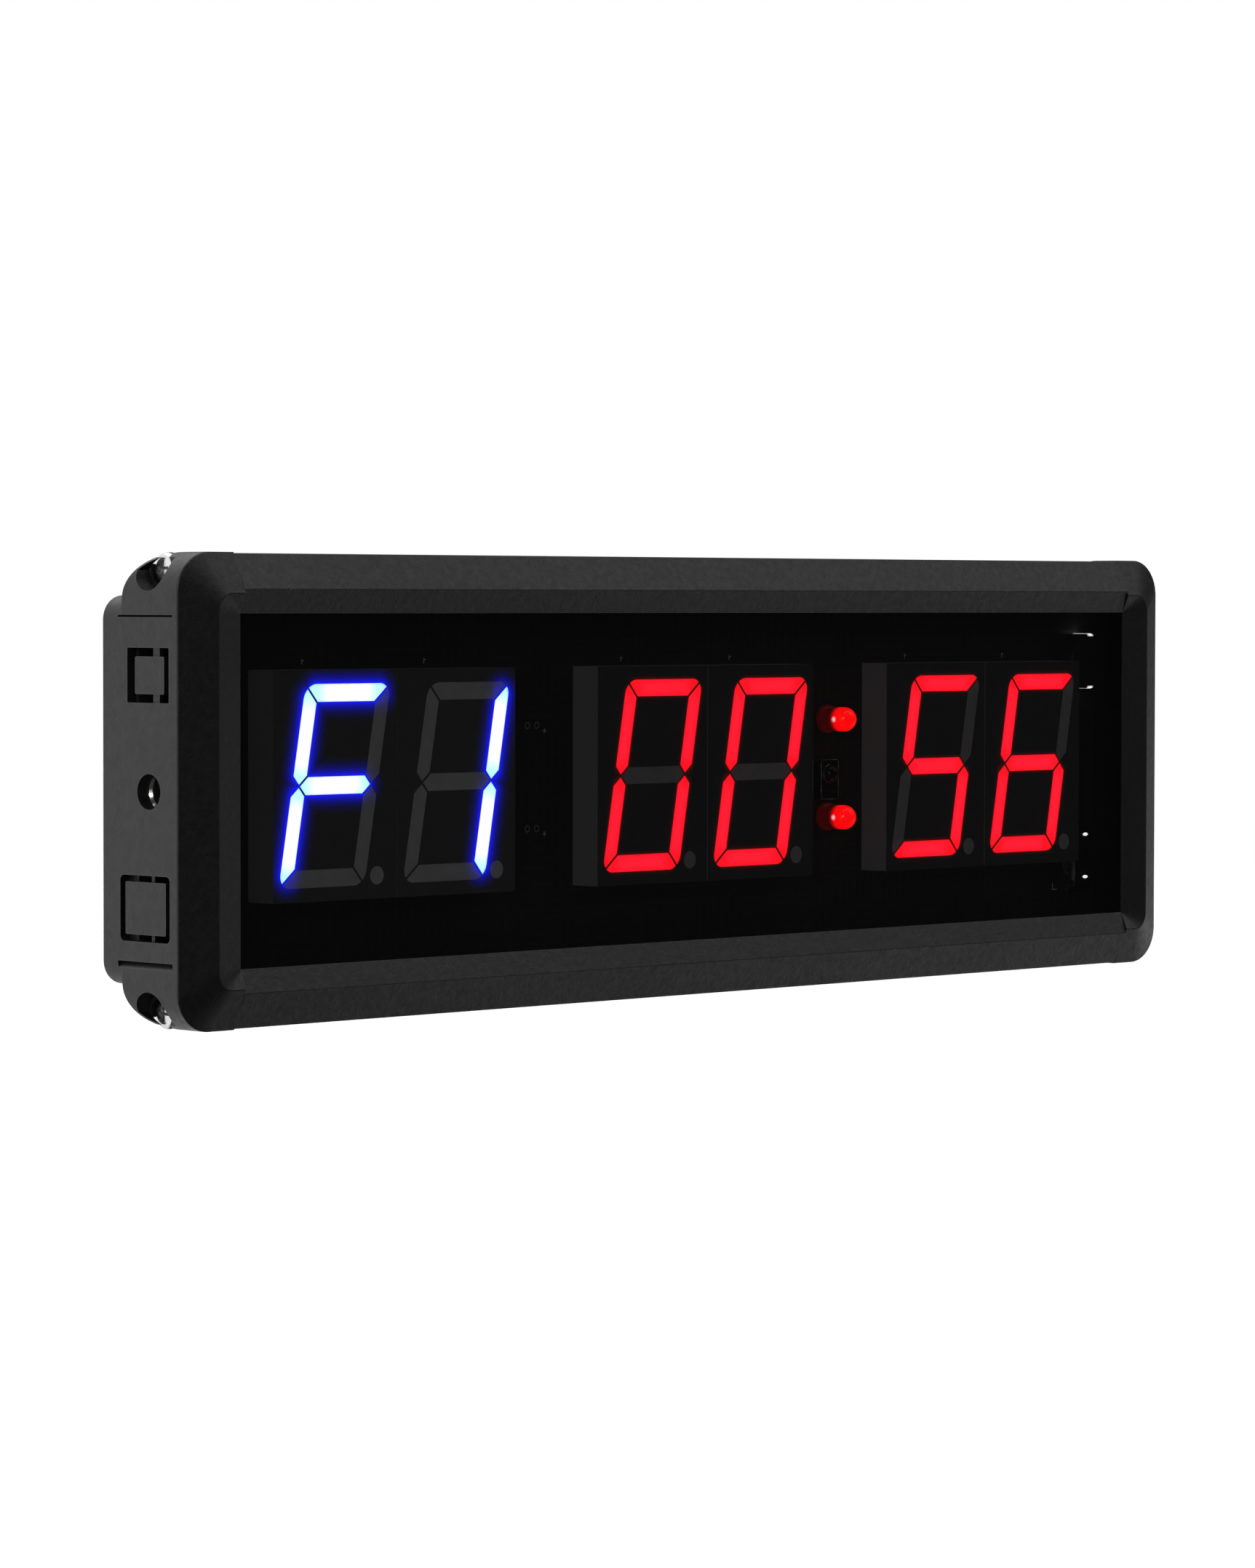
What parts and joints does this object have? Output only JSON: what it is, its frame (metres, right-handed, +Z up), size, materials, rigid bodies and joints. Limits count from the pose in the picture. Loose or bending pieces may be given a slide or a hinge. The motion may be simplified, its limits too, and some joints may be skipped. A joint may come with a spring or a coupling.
{
  "type": "gym round timer",
  "caption": "Wall-hung gym interval timer: black extruded case, tinted lens, seven-segment display with a colon, side power inlet and sliding keyhole hangers.",
  "frame": {"origin": "centre of the flat land on the back of the case, in the plane that meets the wall", "axes": "+X to the right of someone who faces the display, +Y into the wall, +Z up"},
  "size_m": [0.28, 0.025, 0.088],
  "materials": {
    "case_coating": "aluminium extrusion with a black powder coat of fine satin grain",
    "cap_plastic": "black moulded plastic, fine spark-eroded grain",
    "tinted_lens": "smoked acrylic sheet, polished",
    "digit_housing": "black moulded plastic with an inked face",
    "unlit_blue_segment": "milky epoxy, unlit",
    "unlit_red_segment": "milky epoxy, unlit",
    "lit_blue_segment": "epoxy lit from behind, blue",
    "lit_red_segment": "epoxy lit from behind, red",
    "lamp_red": "clear red epoxy lamp",
    "receiver_epoxy": "dark infrared-pass epoxy",
    "circuit_board": "black solder mask over glass-epoxy laminate",
    "chip_package": "moulded chip epoxy",
    "capacitor_ceramic": "fired ceramic with tinned ends",
    "tinned_metal": "tin-plated copper",
    "nickel_plate": "nickel plate",
    "cell_steel": "stainless steel cell can",
    "buzzer_plastic": "black moulded plastic",
    "jack_plastic": "black moulded plastic",
    "bright_screw": "bright nickel-plated steel",
    "hanger_zinc": "bright zinc-plated pressed steel",
    "black_oxide_screw": "black-oxide steel"
  },
  "bodies": {
    "case": {"backup_cell": "cell_steel", "body_extrusion": "case_coating", "buzzer": "buzzer_plastic", "cell_clip": "nickel_plate", "chip_capacitors": "capacitor_ceramic", "chip_resistors": "chip_package", "colon_lamp_leads": "tinned_metal", "dc_jack_body": "jack_plastic", "dc_jack_lugs": "tinned_metal", "dc_jack_pin": "nickel_plate", "dc_jack_shell": "nickel_plate", "digit_1_housing": "digit_housing", "digit_1_lit_segments": "lit_blue_segment", "digit_1_unlit_segments": "unlit_blue_segment", "digit_2_housing": "digit_housing", "digit_2_lit_segments": "lit_blue_segment", "digit_2_unlit_segments": "unlit_blue_segment", "digit_3_housing": "digit_housing", "digit_3_lit_segments": "lit_red_segment", "digit_3_unlit_segments": "unlit_red_segment", "digit_4_housing": "digit_housing", "digit_4_lit_segments": "lit_red_segment", "digit_4_unlit_segments": "unlit_red_segment", "digit_5_housing": "digit_housing", "digit_5_lit_segments": "lit_red_segment", "digit_5_unlit_segments": "unlit_red_segment", "digit_6_housing": "digit_housing", "digit_6_lit_segments": "lit_red_segment", "digit_6_unlit_segments": "unlit_red_segment", "display_driver_chips": "chip_package", "display_driver_pins": "tinned_metal", "display_pins": "tinned_metal", "left_cap_screws": "bright_screw", "left_end_cap": "cap_plastic", "lens_panel": "tinted_lens", "lower_colon_lamp": "lamp_red", "main_circuit_board": "circuit_board", "microcontroller": "chip_package", "microcontroller_pins": "tinned_metal", "power_inductor": "chip_package", "quartz_crystal": "nickel_plate", "remote_receiver": "receiver_epoxy", "remote_receiver_leads": "tinned_metal", "right_cap_screws": "bright_screw", "right_end_cap": "cap_plastic", "upper_colon_lamp": "lamp_red", "voltage_regulator": "chip_package"},
    "left_hanger": {"left_hanger_plate": "hanger_zinc", "left_hanger_screws": "black_oxide_screw"},
    "right_hanger": {"right_hanger_plate": "hanger_zinc", "right_hanger_screws": "black_oxide_screw"}
  },
  "joints": [
    {"name": "left_hanger_slide", "type": "slide", "parent": "case", "child": "left_hanger", "axis": [1, 0, 0], "range_m": [-0.023, 0.064]},
    {"name": "right_hanger_slide", "type": "slide", "parent": "case", "child": "right_hanger", "axis": [1, 0, 0], "range_m": [-0.064, 0.023]}
  ]
}
